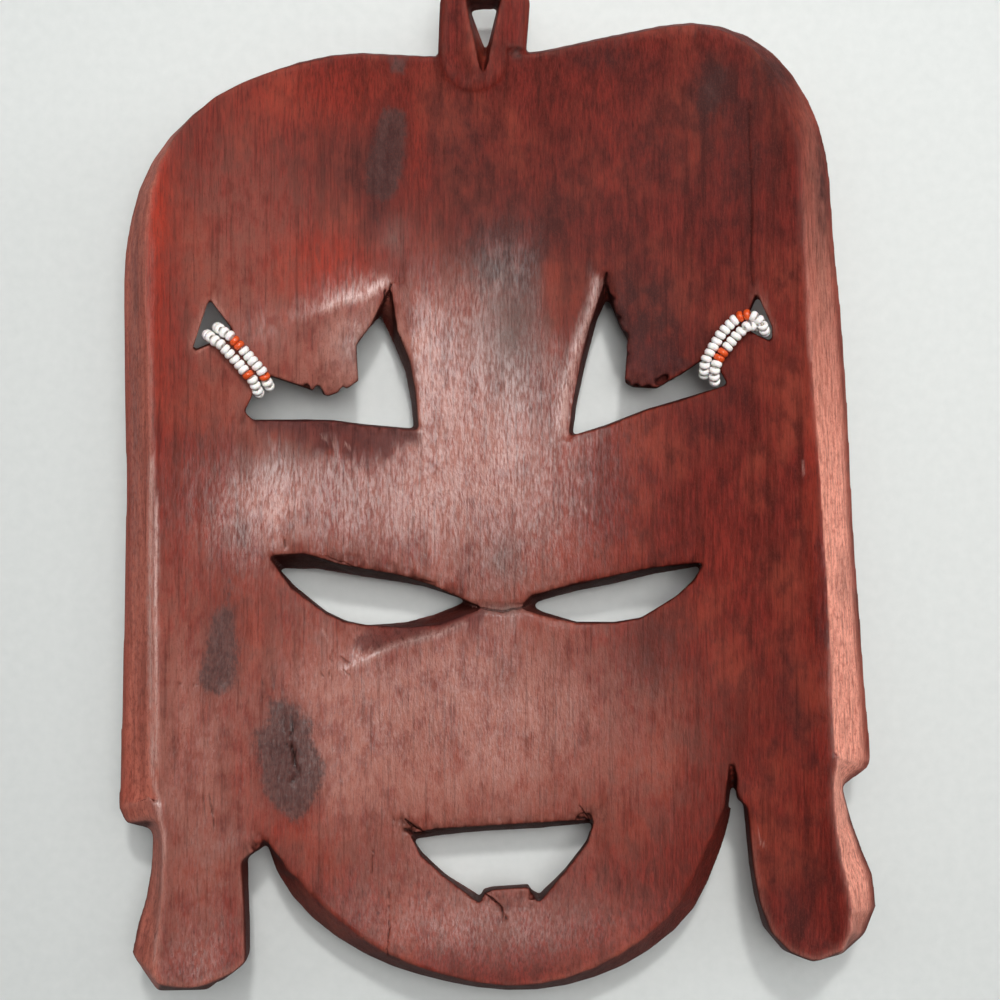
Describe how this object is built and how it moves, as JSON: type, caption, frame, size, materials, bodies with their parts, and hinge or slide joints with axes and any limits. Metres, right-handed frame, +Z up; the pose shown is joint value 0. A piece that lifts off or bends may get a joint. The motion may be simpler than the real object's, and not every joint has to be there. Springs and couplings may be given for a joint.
{
  "type": "maasai beaded mask",
  "caption": "Carved wooden face mask with a hollow back, open eyes, mouth and brow gaps, a hanging loop on the crown and small rings of glass beads at the sides.",
  "frame": {"origin": "middle of the mask's outline, on the surface that it lies on face down", "axes": "+Z up from the face to the hollow back, +Y towards the crown and the hanging loop, +X to the right as the back is seen"},
  "size_m": [0.1983, 0.2666, 0.0352],
  "materials": {
    "carved_wood": "reddish brown stain, satin, with fine upright grain and a few dark knots",
    "glass_beads": "opaque white seed beads with some orange ones, softly glossy"
  },
  "bodies": {
    "root": {"mask": "carved_wood", "beads_left_upper": "glass_beads", "beads_left_lower": "glass_beads", "beads_right_upper": "glass_beads", "beads_right_lower": "glass_beads"}
  },
  "joints": []
}
